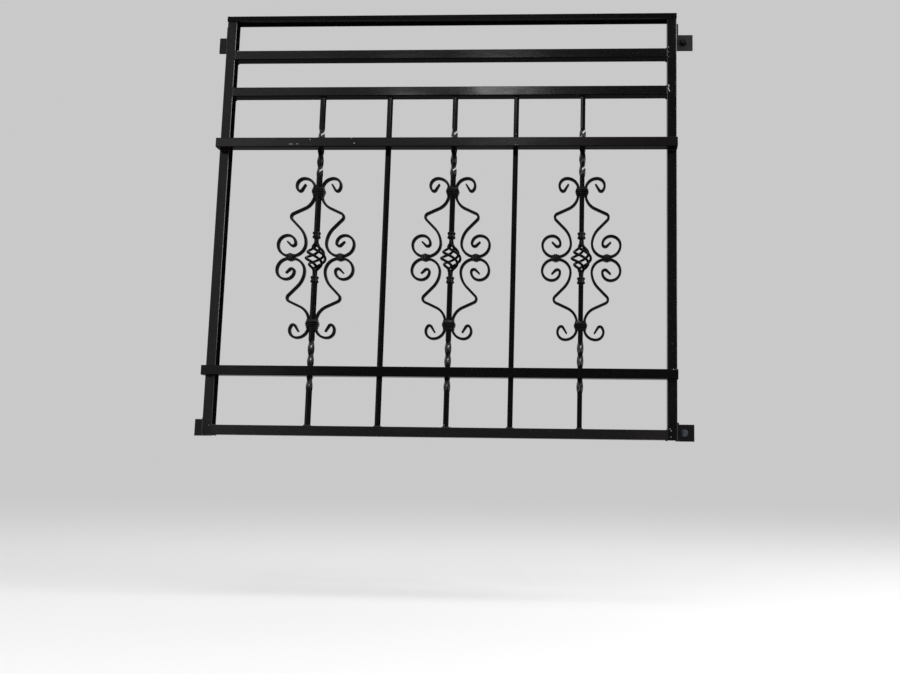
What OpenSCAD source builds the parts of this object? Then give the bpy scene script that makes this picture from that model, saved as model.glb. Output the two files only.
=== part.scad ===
// Juliet balcony guard of welded square steel tube, bolted flat to a wall.
// Drawn as the frame stands: x runs along the wall, y runs from the street towards the wall, z is up.
// The origin is on the wall face of the lower left bracket.

/* [Frame] */
// Width over the two posts
frame_w = 1219; // [1080:1:1500]
// Height from the underside of the bottom rail to the top of the cap rail
frame_h = 1140; // [1050:1:1300]
// Outside size of the square tube of posts, rails and bands
tube = 25.4; // [22:0.1:32]
// Wall thickness of the square tube
tube_wall = 1.6; // [1.2:0.1:3]
// Outside corner radius of the square tube
tube_round = 1.9; // [1:0.1:3]

/* [Cap rail] */
// Height of the cap channel
cap_h = 14; // [10:0.1:20]
// Thickness of the cap channel
cap_t = 2.8; // [2:0.1:4]
// Outside corner radius of the cap channel
cap_round = 1.2; // [0.6:0.1:2]
// Play between the cap channel and the post tops, on each side
cap_play = 0.3; // [0.1:0.05:0.5]

/* [Rails and bands] */
// Clear height between the cap rail and the upper rail
cap_gap = 83.5; // [60:0.5:120]
// Clear height between the upper rail and the middle rail
rail_gap = 79; // [60:1:120]
// Clear height between the middle rail and the upper band
upper_band_gap = 127; // [80:1:180]
// Clear height between the lower band and the bottom rail
lower_band_gap = 126; // [80:1:180]
// Thickness of the plates that close the ends of the bands
plug_t = 3; // [1.5:0.5:6]

/* [Balusters] */
// Side of the square baluster bar
bar = 12.7; // [10:0.1:16]
// Even distance from one baluster to the next
bar_pitch = 175.5; // [150:0.5:220]
// Distance that the whole row of balusters sits right of the middle
row_shift = 14; // [-30:1:30]
// How far each baluster stands right of its even place, from left to right
bar_offsets = [-2, 5, 6, -5, -3]; // [-8:1:8]
// Distance that the ornaments sit above the middle of their balusters
motif_lift = 2; // [-10:1:10]
// Distance from the middle of the ornament to the start of each twist
twist_from = 220; // [212:1:245]
// Length of bar that is twisted
twist_len = 134; // [80:1:140]
// Turns in each twist
twist_turns = 1; // [0.5:0.25:2]

/* [Scrolls] */
// Thickness of the scroll bar, seen from the front
scroll_t = 6.4; // [4:0.2:7]
// Depth of the scroll bar, from front to back
scroll_w = 12; // [6:0.5:14]
// Height of the waist collars above and below the middle of the ornament
waist_z = 179; // [170:1:190]
// Distance from the baluster's middle to the side collars
side_x = 66.5; // [62:0.5:76]
// Bend radius of the arm where it leaves the waist collar
arm_r = 43; // [36:1:48]
// Bend radius of the pointed elbow
elbow_r = 10.5; // [8:0.5:13]
// Bend radius of the shallow stretch between the elbow and the inner bow
hollow_r = 61; // [52:1:70]
// Bend radius of the inner bow, up to the side collar
bow_r = 35; // [32:0.5:38]
// Radius of the outer ring where it leaves the side collar
ring_low_r = 31; // [29:0.5:34]
// Radius of the outer ring round its far side
ring_side_r = 25; // [23:0.2:27]
// Radius of the outer ring over its top
ring_top_r = 21.5; // [19.5:0.5:23.5]
// Radius of the curl inside the outer ring
ring_curl_r = 7; // [6:0.5:8.5]
// Length of the tapered end of the outer ring
ring_tip = 13.5; // [8:0.5:17]
// Radius of the top curl where it leaves the waist collar
curl_rise_r = 29.5; // [26.5:0.5:32]
// Radius of the top curl round its far side
curl_fall_r = 20; // [18:0.5:22]
// Radius of the turn at the end of the top curl
curl_end_r = 6; // [5:0.5:7.5]
// Length of the tapered end of the top curl
curl_tip = 18; // [8:0.5:20]
// Length of straight scroll bar held in a waist collar
waist_run = 14; // [13:1:19]
// Length of straight scroll bar held in a side collar
side_run = 8; // [6:1:12]
// Thickness left at the very end of a tapered tip
tip_t = 3.5; // [2:0.1:4]

/* [Collars] */
// Wall thickness of a collar's sleeve
sleeve_t = 1.1; // [0.8:0.1:3]
// Height that a collar's highest rib stands above its sleeve
rib_t = 2.4; // [1.5:0.1:4]
// Height that the ribs beside the highest one lie lower
rib_step = 0.6; // [0.2:0.1:0.8]
// Play round the bars inside a collar, where they begin to bend
collar_play = 0.6; // [0.5:0.05:0.9]
// Length of a waist collar along the baluster
waist_len = 24; // [18:1:25]
// Length of a side collar along the scroll bars
side_len = 18; // [14:1:20]
// Width of one rib of a collar, measured along the bars
rib_w = 4.6; // [3:0.1:5.2]
// Width of the flat on top of a rib
rib_flat = 1.8; // [1:0.1:2.5]
// Height at which neighbouring ribs run into each other above the sleeve
rib_root = 0.6; // [0.3:0.1:0.8]

/* [Basket] */
// Outside diameter of the basket
basket_d = 56.5; // [40:0.5:62]
// Height of the open part of the basket
basket_h = 78; // [66:1:94]
// Thickness of one basket wire
wire_d = 6; // [4:0.1:7]
// Fullness of the basket's outline; 1 swells like half a sine wave, more keeps its ends slimmer
swell_power = 1.4; // [1:0.1:2]
// Turns that each wire makes from end to end
basket_turns = 1.2; // [0.75:0.05:1.5]
// Length of the bundled wires between the basket and its knuckle
stem_len = 12; // [8:1:19]
// Length of the turned knuckle at each end of the basket
knuckle_len = 18; // [14:1:23]
// Diameter of the two beads on a knuckle
knuckle_d = 21.5; // [19.5:0.5:26]
// Length of one bead
bead_len = 5.1; // [3:0.1:6]
// Corner radius of a bead
bead_round = 1.4; // [0.5:0.1:1.5]
// Length of plain core that shows beyond a bead
core_end = 1; // [0.5:0.1:2]
// Diameter of a knuckle between and beside its beads
core_d = 18; // [17:0.2:19]
// Depth of the hole that takes the bundled wires
socket = 8.5; // [6:0.5:12]

/* [Wall brackets] */
// Distance from the front face of the posts to the wall
standoff = 70; // [50:1:150]
// Height of a bracket
tab_h = 44; // [30:1:60]
// Thickness of a bracket
tab_t = 5; // [4:0.5:8]
// Distance that a bracket's foot reaches out from the post
tab_out = 50; // [45:1:80]
// Distance from the post's outer face to the bolt hole
hole_out = 24; // [20:1:32]
// Diameter of the bolt hole
hole_d = 11; // [8:0.5:13]
// Length of the weld lap of a bracket along the side of the post
tab_lap = 16; // [10:1:22]
// Inner bend radius of a bracket
tab_bend = 5; // [3:0.5:8]
// Distance from the top of the frame down to the upper brackets
tab_drop = 25; // [14:1:40]

/* [Hidden] */
$fn = 48;
fit = 0.15;
iron = [0.09, 0.09, 0.1];
steel = [0.13, 0.13, 0.14];

half_w = frame_w / 2;
rail_w = frame_w - 2 * tube;
cap_depth = tube + 2 * (cap_t + cap_play);
upper_rail_z = frame_h - cap_h - cap_gap - tube;
middle_rail_z = upper_rail_z - rail_gap - tube;
upper_band_z = middle_rail_z - upper_band_gap - tube;
lower_band_z = tube + lower_band_gap;
upper_tab_z = frame_h - tab_drop - tab_h;

row_y = tube / 2;
baluster_h = middle_rail_z - tube;
motif_z = tube + baluster_h / 2 + motif_lift;
bar_x = [for (i = [0:4]) row_shift + (i - 2) * bar_pitch + bar_offsets[i]];
motif_x = [bar_x[0], bar_x[2], bar_x[4]];
plain_x = [bar_x[1], bar_x[3]];

waist_x = bar / 2 + fit + scroll_t / 2;
side_z = scroll_t / 2 + fit;
arm_z = waist_z - waist_run / 2;
curl_z = waist_z + waist_run / 2;
arm_turn = 115;
elbow_turn = 224;
hollow_turn = 184;
curl_turns = [90, 219, 329];
curl_radii = [curl_rise_r, curl_fall_r, curl_end_r];
ring_turns = [0, -90, -180, -315];
ring_radii = [ring_low_r, ring_side_r, ring_top_r, ring_curl_r];
bend_step = 9;
rib_lap = 0.2;

stem_z = basket_h / 2 + stem_len;
knuckle_end_z = stem_z + knuckle_len;
wire_end_z = stem_z + socket - fit;
wire_r0 = (bar - wire_d) / 2;
wire_r1 = (basket_d - wire_d) / 2;

mark_out = (hole_out + hole_d / 2 + tab_out) / 2;

// Moves the frame's own middle, front face and underside to where the bracket's face is the origin.
module in_place() {
    translate([half_w + mark_out, -standoff, -tab_h / 2]) children();
}

// Square with round corners, centred.
module round_square(w, h, r) {
    square([w - 2 * r, h], center = true);
    square([w, h - 2 * r], center = true);
    for (x = [-1, 1], y = [-1, 1])
        translate([x * (w / 2 - r), y * (h / 2 - r)]) circle(r);
}

// Length of square tube along z, centred on the axis.
module square_tube(len) {
    linear_extrude(len) difference() {
        round_square(tube, tube, tube_round);
        square(tube - 2 * tube_wall, center = true);
    }
}

// Post, with its outer face on the side of the frame: side is -1 for left and 1 for right.
module post(side) {
    color(iron) in_place() translate([side * (half_w - tube / 2), tube / 2, 0])
        square_tube(frame_h - cap_t);
}

// Square tube along x, with its underside at z and its front face at y.
module level_tube(len, y, z) {
    in_place() translate([-len / 2, y + tube / 2, z + tube / 2])
        rotate([90, 0, 90]) square_tube(len);
}

module rail(z) {
    color(iron) level_tube(rail_w, 0, z);
}

module band(z) {
    color(iron) level_tube(frame_w, -tube, z);
}

// The two plates that close the ends of a band.
module band_ends(z) {
    w = tube - 2 * tube_wall - 2 * fit;
    color(steel) in_place() for (side = [-1, 1])
        translate([side * (half_w - plug_t / 2), -tube / 2, z + tube / 2])
            cube([plug_t, w, w], center = true);
}

// Channel, open downwards, that the post tops stand in.
module cap_rail() {
    inside = cap_depth - 2 * cap_t;
    color(iron) in_place() translate([-half_w, tube / 2, frame_h - cap_h / 2])
        rotate([90, 0, 90]) linear_extrude(frame_w) difference() {
            round_square(cap_depth, cap_h, cap_round);
            translate([-inside / 2, -cap_h]) square([inside, cap_h * 1.5 - cap_t]);
        }
}

module wall_bracket(side, z) {
    bend = tab_bend + tab_t;
    lap_y = tube - tab_lap;
    color(steel) in_place() translate([side * half_w, 0, z]) mirror([side < 0 ? 1 : 0, 0, 0])
        difference() {
            linear_extrude(tab_h) {
                translate([0, lap_y]) square([tab_t, standoff - bend - lap_y]);
                translate([bend, standoff - tab_t]) square([tab_out - bend, tab_t]);
                translate([bend, standoff - bend]) intersection() {
                    difference() {
                        circle(bend);
                        circle(tab_bend);
                    }
                    translate([-bend, 0]) square(bend);
                }
            }
            translate([hole_out, standoff - tab_t - 1, tab_h / 2])
                rotate([-90, 0, 0]) cylinder(d = hole_d, h = tab_t + 2);
        }
}

// Moves a piece drawn about the ornament's middle to its place on the frame.
module on_row(x) {
    in_place() translate([x, row_y, motif_z]) children();
}

module plain_baluster(x) {
    color(iron) on_row(x) translate([0, 0, -motif_lift]) cube([bar, bar, baluster_h], center = true);
}

// Solid over rings of points, listed upwards, each ring counterclockwise seen from above.
module skin(rings) {
    n = len(rings[0]);
    last = len(rings) - 1;
    flanks = [for (i = [0:last - 1], k = [0:n - 1])
        let (next = (k + 1) % n) [i * n + k, (i + 1) * n + k, (i + 1) * n + next, i * n + next]];
    foot = [[for (k = [0:n - 1]) k]];
    head = [[for (k = [n - 1:-1:0]) last * n + k]];
    polyhedron([for (ring = rings) each ring], concat(flanks, foot, head), convexity = 10);
}

// Outline of the square bar at height z, turned clockwise seen from above.
function bar_ring(z, turn) =
    [for (corner = [45:90:315]) [bar / sqrt(2) * cos(corner - turn), bar / sqrt(2) * sin(corner - turn), z]];

// Half of a twisted baluster, from the knuckle up to the rail, whose underside lies at height to. The foot
// is the same, turned over.
module twisted_half(to) {
    steps = ceil(36 * twist_turns);
    twist = [for (i = [0:steps])
        bar_ring(twist_from + twist_len * i / steps, 360 * twist_turns * i / steps)];
    skin(concat([bar_ring(knuckle_end_z, 0)], twist, [bar_ring(to, 360 * twist_turns)]));
}

module bar_top(x) {
    color(iron) on_row(x) twisted_half(baluster_h / 2 - motif_lift);
}

module bar_foot(x) {
    color(iron) on_row(x) rotate([180, 0, 0]) twisted_half(baluster_h / 2 + motif_lift);
}

// Bent bar, as stations along its middle line: [x, z, heading, thickness]. A heading is in degrees
// clockwise from straight up, seen from the front.
function side_of(heading) = [cos(heading), -sin(heading)];
function ahead(p, heading, len) = p + len * [sin(heading), cos(heading)];
function hub(p, from, to, r) = p + sign(to - from) * r * side_of(from);
function bend_end(p, from, to, r) = hub(p, from, to, r) - sign(to - from) * r * side_of(to);
function station(p, heading, t = scroll_t) = [p[0], p[1], heading, t];
function bend(p, from, to, r) =
    let (n = ceil(abs(to - from) / bend_step), c = hub(p, from, to, r), s = sign(to - from))
    [for (i = [0:n]) let (h = from + (to - from) * i / n) station(c - s * r * side_of(h), h)];

// Spiral that turns through the listed headings, one bend for each radius, and ends in a taper.
function spiral(p, from, turns, radii, tip, i = 0) =
    i < len(radii)
    ? concat(bend(p, from, turns[i], radii[i]),
        spiral(bend_end(p, from, turns[i], radii[i]), turns[i], turns, radii, tip, i + 1))
    : [station(ahead(p, from, tip), from, tip_t)];

// The arm leaves the waist collar, turns at the elbow and comes in through the hollow and the bow to the
// side collar. Its two straight runs are as long as they must be for the arm to reach that collar level.
function arm() =
    let (p0 = [waist_x, arm_z],
        p1 = bend_end(p0, 180, arm_turn, arm_r),
        elbow = bend_end([0, 0], arm_turn, elbow_turn, elbow_r),
        hollow = bend_end([0, 0], elbow_turn, hollow_turn, hollow_r),
        bow = bend_end([0, 0], hollow_turn, 90, bow_r),
        end = [side_x - side_run / 2, side_z],
        left = end - p1 - elbow - hollow - bow,
        a = ahead([0, 0], arm_turn, 1),
        b = ahead([0, 0], elbow_turn, 1),
        run = (left[0] * b[1] - left[1] * b[0]) / (a[0] * b[1] - a[1] * b[0]),
        p2 = ahead(p1, arm_turn, run),
        p4 = end - bow)
    concat(bend(p0, 180, arm_turn, arm_r),
        bend(p2, arm_turn, elbow_turn, elbow_r),
        bend(p4 - hollow, elbow_turn, hollow_turn, hollow_r),
        bend(p4, hollow_turn, 90, bow_r));

// The same stations, met from the other end.
function turned(line) =
    [for (i = [len(line) - 1:-1:0]) [line[i][0], line[i][1], line[i][2] + 180, line[i][3]]];

// Flat bar along a line of stations, standing in the plane of the frame.
module flat_bar(line) {
    edge = [for (s = line) [s[0], s[1]] + s[3] / 2 * side_of(s[2])];
    other = [for (i = [len(line) - 1:-1:0])
        [line[i][0], line[i][1]] - line[i][3] / 2 * side_of(line[i][2])];
    translate([0, scroll_w / 2, 0]) rotate([90, 0, 0])
        linear_extrude(scroll_w) polygon(concat(edge, other));
}

// One scroll bar, bent from end to end: top curl, waist, arm, bow and outer ring.
module scroll() {
    curl = spiral([waist_x, curl_z], 0, curl_turns, curl_radii, curl_tip);
    ring = spiral([side_x + side_run / 2, side_z], 90, ring_turns, ring_radii, ring_tip);
    flat_bar(concat(turned(curl), arm(), ring));
}

module scroll_pair() {
    scroll();
    mirror([1, 0, 0]) scroll();
}

module scrolls_up(x) {
    color(iron) on_row(x) scroll_pair();
}

module scrolls_down(x) {
    color(iron) on_row(x) mirror([0, 0, 1]) scroll_pair();
}

// Rib round a collar whose sleeve measures w by d, with sloping flanks.
module rib(w, d, out) {
    hull() {
        linear_extrude(rib_w, center = true)
            round_square(w + 2 * rib_root, d + 2 * rib_root, rib_root, $fn = 16);
        linear_extrude(rib_flat, center = true)
            round_square(w + 2 * out, d + 2 * out, out, $fn = 16);
    }
}

// Collar that clasps a bundle of bars, bars_w by bars_d, along z: a sleeve with ribs round its middle.
module collar(bars_w, bars_d, len, ribs) {
    w = bars_w + 2 * collar_play;
    d = bars_d + 2 * collar_play;
    middle = (ribs - 1) / 2;
    difference() {
        union() {
            linear_extrude(len, center = true)
                round_square(w + 2 * sleeve_t, d + 2 * sleeve_t, sleeve_t, $fn = 16);
            for (i = [0:ribs - 1])
                translate([0, 0, (i - middle) * (rib_w - rib_lap)])
                    rib(w + 2 * sleeve_t, d + 2 * sleeve_t, i == middle ? rib_t : rib_t - rib_step);
        }
        cube([w, d, len + 2], center = true);
    }
}

module waist_collars(x) {
    color(steel) on_row(x) for (up = [-1, 1])
        translate([0, 0, up * waist_z])
            collar(2 * waist_x + scroll_t, max(bar, scroll_w), waist_len, 3);
}

module side_collars(x) {
    color(steel) on_row(x) for (side = [-1, 1])
        translate([side * side_x, 0, 0]) rotate([0, 90, 0])
            collar(2 * side_z + scroll_t, scroll_w, side_len, 2);
}

// Turned knuckle with two beads. The square bar stands on its closed end, and the hole in the other takes
// the bundled wires of the basket.
module knuckle() {
    bead_z = knuckle_len / 2 - bead_len / 2 - core_end;
    difference() {
        rotate_extrude() {
            translate([0, -knuckle_len / 2]) square([core_d / 2, knuckle_len]);
            for (side = [-1, 1]) translate([0, side * bead_z - bead_len / 2]) {
                square([knuckle_d / 2 - bead_round, bead_len]);
                translate([0, bead_round]) square([knuckle_d / 2, bead_len - 2 * bead_round]);
                for (z = [bead_round, bead_len - bead_round])
                    translate([knuckle_d / 2 - bead_round, z]) circle(bead_round, $fn = 16);
            }
        }
        translate([0, 0, -knuckle_len / 2 - 1]) cylinder(r = bar / 2 + fit, h = socket + 1);
    }
}

module knuckles(x) {
    color(steel) on_row(x) for (side = [-1, 1])
        mirror([0, 0, side < 0 ? 1 : 0]) translate([0, 0, stem_z + knuckle_len / 2]) knuckle();
}

// Middle line of a basket wire at height z: it swells to the full width half way up, and turns as it climbs.
function swell(z) = abs(z) >= basket_h / 2 ? 0 : pow(cos(180 * z / basket_h), swell_power);
function wire_turn(z) = -360 * basket_turns * z / basket_h;
function wire_at(z) =
    let (r = wire_r0 + (wire_r1 - wire_r0) * swell(z)) [r * cos(wire_turn(z)), r * sin(wire_turn(z)), z];
function unit(v) = v / norm(v);

// One wire, swept along its path as rings of points.
module wire(steps = 40, sides = 6) {
    zs = [for (i = [0:steps]) wire_end_z * (2 * i / steps - 1)];
    skin([for (z = zs)
        let (t = unit(wire_at(z + 0.1) - wire_at(z - 0.1)), c = wire_at(z),
            u = unit(cross(t, [-c[1], c[0], 0])), v = cross(t, u))
        [for (k = [0:sides - 1])
            c + wire_d / 2 * (u * cos(360 * k / sides) + v * sin(360 * k / sides))]]);
}

// Four wires, closed into a solid bundle above and below the open basket.
module basket(x) {
    color(iron) on_row(x) {
        for (k = [0:3]) rotate([0, 0, 45 + 90 * k]) wire();
        for (side = [-1, 1]) translate([0, 0, side * (basket_h / 2 + wire_end_z) / 2])
            cylinder(r = wire_r0, h = wire_end_z - basket_h / 2 - 2 * fit, center = true, $fn = 12);
    }
}

post(-1);  // post_left
post(1);  // post_right
cap_rail();
rail(upper_rail_z);  // upper_rail
rail(middle_rail_z);  // middle_rail
rail(0);  // bottom_rail
band(upper_band_z);  // upper_band
band(lower_band_z);  // lower_band
band_ends(upper_band_z);  // upper_band_ends
band_ends(lower_band_z);  // lower_band_ends
wall_bracket(-1, upper_tab_z);  // bracket_upper_left
wall_bracket(1, upper_tab_z);  // bracket_upper_right
wall_bracket(-1, 0);  // bracket_lower_left
wall_bracket(1, 0);  // bracket_lower_right
plain_baluster(plain_x[0]);  // plain_baluster_left
plain_baluster(plain_x[1]);  // plain_baluster_right
bar_top(motif_x[0]);  // left_bar_top
bar_foot(motif_x[0]);  // left_bar_foot
basket(motif_x[0]);  // left_basket
knuckles(motif_x[0]);  // left_knuckles
scrolls_up(motif_x[0]);  // left_scrolls_up
scrolls_down(motif_x[0]);  // left_scrolls_down
waist_collars(motif_x[0]);  // left_waist_collars
side_collars(motif_x[0]);  // left_side_collars
bar_top(motif_x[1]);  // middle_bar_top
bar_foot(motif_x[1]);  // middle_bar_foot
basket(motif_x[1]);  // middle_basket
knuckles(motif_x[1]);  // middle_knuckles
scrolls_up(motif_x[1]);  // middle_scrolls_up
scrolls_down(motif_x[1]);  // middle_scrolls_down
waist_collars(motif_x[1]);  // middle_waist_collars
side_collars(motif_x[1]);  // middle_side_collars
bar_top(motif_x[2]);  // right_bar_top
bar_foot(motif_x[2]);  // right_bar_foot
basket(motif_x[2]);  // right_basket
knuckles(motif_x[2]);  // right_knuckles
scrolls_up(motif_x[2]);  // right_scrolls_up
scrolls_down(motif_x[2]);  // right_scrolls_down
waist_collars(motif_x[2]);  // right_waist_collars
side_collars(motif_x[2]);  // right_side_collars
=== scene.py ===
# %% [markdown]
# # A juliet balcony guard, finished in Blender
# The guard is a flat frame of black painted steel that is bolted upright to a building. Its tubes, rails,
# bands and brackets come from a CAD model, which stays where it is. This lesson puts the looks round that
# model: forged scrolls, twisted bars, wire baskets, collars, weld beads, bolts and worn black paint.
#
# The first cell loads the CAD model. Every length here is in metres. X runs along the guard, y runs from its
# front to its back, and z is up.
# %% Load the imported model
import bpy
import bmesh
import math
import random
from mathutils import Matrix, Vector


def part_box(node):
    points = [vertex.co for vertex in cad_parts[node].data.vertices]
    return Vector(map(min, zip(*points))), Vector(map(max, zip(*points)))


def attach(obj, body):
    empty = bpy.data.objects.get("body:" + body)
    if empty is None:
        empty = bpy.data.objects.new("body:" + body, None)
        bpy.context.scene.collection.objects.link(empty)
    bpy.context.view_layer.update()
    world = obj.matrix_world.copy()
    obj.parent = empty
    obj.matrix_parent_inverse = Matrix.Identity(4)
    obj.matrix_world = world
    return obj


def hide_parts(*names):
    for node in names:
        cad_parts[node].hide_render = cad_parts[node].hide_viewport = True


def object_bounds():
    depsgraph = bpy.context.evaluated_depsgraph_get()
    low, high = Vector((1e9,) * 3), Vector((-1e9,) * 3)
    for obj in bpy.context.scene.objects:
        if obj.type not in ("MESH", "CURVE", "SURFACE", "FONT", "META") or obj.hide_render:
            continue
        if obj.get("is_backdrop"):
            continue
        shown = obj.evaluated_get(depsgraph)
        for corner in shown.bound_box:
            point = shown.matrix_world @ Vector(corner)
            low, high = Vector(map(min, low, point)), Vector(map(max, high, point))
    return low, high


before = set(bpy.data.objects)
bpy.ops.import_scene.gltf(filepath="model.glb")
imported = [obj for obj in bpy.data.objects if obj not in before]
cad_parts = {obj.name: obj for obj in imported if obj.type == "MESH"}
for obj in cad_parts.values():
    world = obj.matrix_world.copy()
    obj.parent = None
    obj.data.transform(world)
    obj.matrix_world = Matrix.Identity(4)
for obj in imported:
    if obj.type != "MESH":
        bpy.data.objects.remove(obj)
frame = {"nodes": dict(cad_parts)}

MM = 0.001
cad_low, cad_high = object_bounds()
size = cad_high - cad_low
print("the guard is %.3f m wide, %.3f m deep and %.3f m high" % tuple(size))

# %% [markdown]
# ## Camera
# The guard is seen from in front, from just below its foot and a little to the right of its middle, with the
# view turned up by some seven degrees. The camera's place and its three angles were worked out from the
# straight edges of the frame, whose sizes are known. The picture is framed off the lens's middle, which the
# camera's shift repeats: without it the posts would lean otherwise and less of the rails' undersides would
# show.
# %% Camera
CAMERA_PLACE = (1.0444, -2.1830, -0.1375)
LOOK_LEFT, LOOK_UP, ROLL = math.radians(2.352), math.radians(6.755), math.radians(0.841)
SENSOR_MM, LENS_MM = 36, 33.457
SHIFT_X, SHIFT_Y = -0.12067, 0.05403
NEAREST = 0.05

bpy.ops.object.camera_add(location=CAMERA_PLACE)
camera = bpy.context.object
turn = (Matrix.Rotation(LOOK_LEFT, 4, "Z") @ Matrix.Rotation(math.pi / 2 + LOOK_UP, 4, "X")
        @ Matrix.Rotation(ROLL, 4, "Z"))
camera.rotation_euler = turn.to_euler()
camera.data.sensor_width = SENSOR_MM
camera.data.lens = LENS_MM
camera.data.shift_x, camera.data.shift_y = SHIFT_X, SHIFT_Y
camera.data.clip_start = NEAREST
bpy.context.scene.camera = camera
print("camera", [round(v, 3) for v in camera.location])

# %% [markdown]
# ## Helpers for working by hand
# Most operators act on whatever is selected, and the CAD nodes arrive selected. So each piece starts by
# letting go of everything. Faces and edges are then picked by a rule on their place, and a finished piece
# gets its origin at the frame's origin, so that a pattern on object coordinates lies still on it.
# %% Helpers
X, Y, Z = Vector((1, 0, 0)), Vector((0, 1, 0)), Vector((0, 0, 1))
FLAT_SMOOTH, ROUND_SMOOTH = 35, 60


def let_go():
    bpy.ops.object.select_all(action="DESELECT")


def hold(piece):
    let_go()
    piece.select_set(True)
    bpy.context.view_layer.objects.active = piece


def edit():
    bpy.ops.object.mode_set(mode="EDIT")


def done():
    bpy.ops.object.mode_set(mode="OBJECT")


def pick(kind, rule=lambda element: True):
    """In edit mode, selects the verts, edges or faces that the rule holds for, and counts them."""
    bpy.ops.mesh.select_mode(type={"verts": "VERT", "edges": "EDGE", "faces": "FACE"}[kind])
    bpy.ops.mesh.select_all(action="DESELECT")
    mesh = bmesh.from_edit_mesh(bpy.context.object.data)
    count = 0
    for element in getattr(mesh, kind):
        if rule(element):
            element.select_set(True)
            count += 1
    mesh.select_flush_mode()
    bmesh.update_edit_mesh(bpy.context.object.data)
    return count


def settle(piece):
    """Moves a piece's place into its mesh."""
    hold(piece)
    bpy.ops.object.transform_apply(location=True, rotation=True, scale=True)


def apply_modifiers(piece):
    hold(piece)
    for modifier in list(piece.modifiers):
        bpy.ops.object.modifier_apply(modifier=modifier.name)


def join(pieces):
    hold(pieces[0])
    for piece in pieces[1:]:
        piece.select_set(True)
    bpy.ops.object.join()
    return bpy.context.object


def copy_of(piece, shift=(0, 0, 0), flip=(1, 1, 1), about=(0, 0, 0)):
    """A copy with a mesh of its own, flipped about a point and then shifted, both in the mesh."""
    twin = piece.copy()
    twin.data = piece.data.copy()
    bpy.context.scene.collection.objects.link(twin)
    hold(twin)
    edit()
    bpy.ops.mesh.select_all(action="SELECT")
    if flip != (1, 1, 1):
        bpy.ops.transform.resize(value=flip, center_override=about)
        bpy.ops.mesh.normals_make_consistent(inside=False)
    bpy.ops.transform.translate(value=shift)
    done()
    return twin


def finish_piece(piece, name, slot, *nodes, smooth=FLAT_SMOOTH):
    """Settles a piece: its place, its smooth faces, its body and the nodes it stands for. Its slot is not
    used.
    """
    settle(piece)
    bpy.ops.object.shade_smooth_by_angle(angle=math.radians(smooth))
    piece.name = name
    piece.data.name = name
    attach(piece, "root")
    if nodes:
        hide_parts(*nodes)
    return piece


print("helpers are ready")

# %% [markdown]
# ## Where the ornaments stand
# Three of the five balusters carry the same ornament. Its middle is the middle of the wire basket, and the
# CAD model says where that is. Everything on the ornament is built once, on the middle baluster, and copied.
# %% Places of the ornaments
SIDES = ("left", "middle", "right")


def centre_of(node):
    low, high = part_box(node)
    return (low + high) / 2


hub = {side: centre_of(side + "_basket") for side in SIDES}
home = hub["middle"]
for side in SIDES:
    print(side, "ornament at", [round(v, 4) for v in hub[side]])


def set_out(piece, name, slot, node, smooth=FLAT_SMOOTH):
    """Copies an ornament's piece from the middle baluster to all three, and removes the first."""
    pieces = []
    for side in SIDES:
        twin = copy_of(piece, shift=hub[side] - home)
        pieces.append(finish_piece(twin, side + "_" + name, slot, side + "_" + node, smooth=smooth))
    bpy.data.objects.remove(piece)
    return pieces


# %% [markdown]
# ## Scroll bars
# A scroll is one flat bar, 12 mm deep and a quarter of an inch thick, rolled cold round dies. A smith bends
# it a piece at a time, and the spin tool does the same: it carries the end face of the bar round a centre.
# So the bar starts as a small plane with rounded corners, inside the waist collar. One end is spun up into
# the top curl. The other end is spun down through the pointed elbow, the shallow hollow and the inner bow
# into the outer ring. Both tips are drawn out thinner. A heading is an angle in degrees, clockwise from
# straight up, seen from in front.
# %% Bending a bar
BEND_STEP = 6
TIP_CUTS, TIP_SHARE, WIDTH_SHARE = 5, 0.68, 0.35
TIP_END, TIP_ROUND = 0.9 * MM, (0.6, 0.85, 0.6)


def to_side(heading):
    """The direction to the right of a heading."""
    angle = math.radians(heading)
    return Vector((math.cos(angle), 0, -math.sin(angle)))


def to_front(heading):
    """The direction that a heading points in."""
    angle = math.radians(heading)
    return Vector((math.sin(angle), 0, math.cos(angle)))


def bend_end(at, heading, to, radius):
    """The centre of a bend, and the place where it ends."""
    way = 1 if to > heading else -1
    centre = at + way * radius * to_side(heading)
    return centre, centre - way * radius * to_side(to)


def bend(at, heading, to, radius):
    """Spins the picked end round to a new heading, and returns where it ends."""
    centre, end = bend_end(at, heading, to, radius)
    steps = max(2, round(abs(to - heading) / BEND_STEP))
    bpy.ops.mesh.spin(steps=steps, angle=-math.radians(to - heading), center=centre, axis=(0, 1, 0))
    return end


def run(at, heading, length):
    move = to_front(heading) * length
    bpy.ops.mesh.extrude_region_move(TRANSFORM_OT_translate={"value": move})
    return at + move


def draw_out(at, heading, length):
    """Runs on straight while the bar gets thinner, and rounds the very end."""
    for i in range(TIP_CUTS):
        at = run(at, heading, length / TIP_CUTS)
        slimmer = (1 - (1 - TIP_SHARE) * (i + 1) / TIP_CUTS) / (1 - (1 - TIP_SHARE) * i / TIP_CUTS)
        narrower = 1 - (1 - slimmer) * WIDTH_SHARE
        bpy.ops.transform.resize(value=(slimmer, narrower, slimmer), center_override=at)
    at = run(at, heading, TIP_END)
    bpy.ops.transform.resize(value=TIP_ROUND, center_override=at)


def roll_up(at, heading, turns, tip):
    """Rolls the picked end through turns of (heading, radius in mm), and draws out a tip."""
    for to, radius in turns:
        at = bend(at, heading, to, radius * MM)
        heading = to
    draw_out(at, heading, tip)


print("a bend of 90 degrees at 30 mm ends at", bend_end(Vector(), 0, 90, 30 * MM)[1])

# %% The bar's section and its top curl
SCROLL_T, SCROLL_W, SCROLL_ROUND = 6.4 * MM, 12 * MM, 1.3 * MM
WAIST_X, WAIST_Z, WAIST_RUN = 9.7 * MM, 179 * MM, 14 * MM
CURL, CURL_TIP = ((90, 29.5), (219, 20), (329, 6)), 18 * MM

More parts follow.
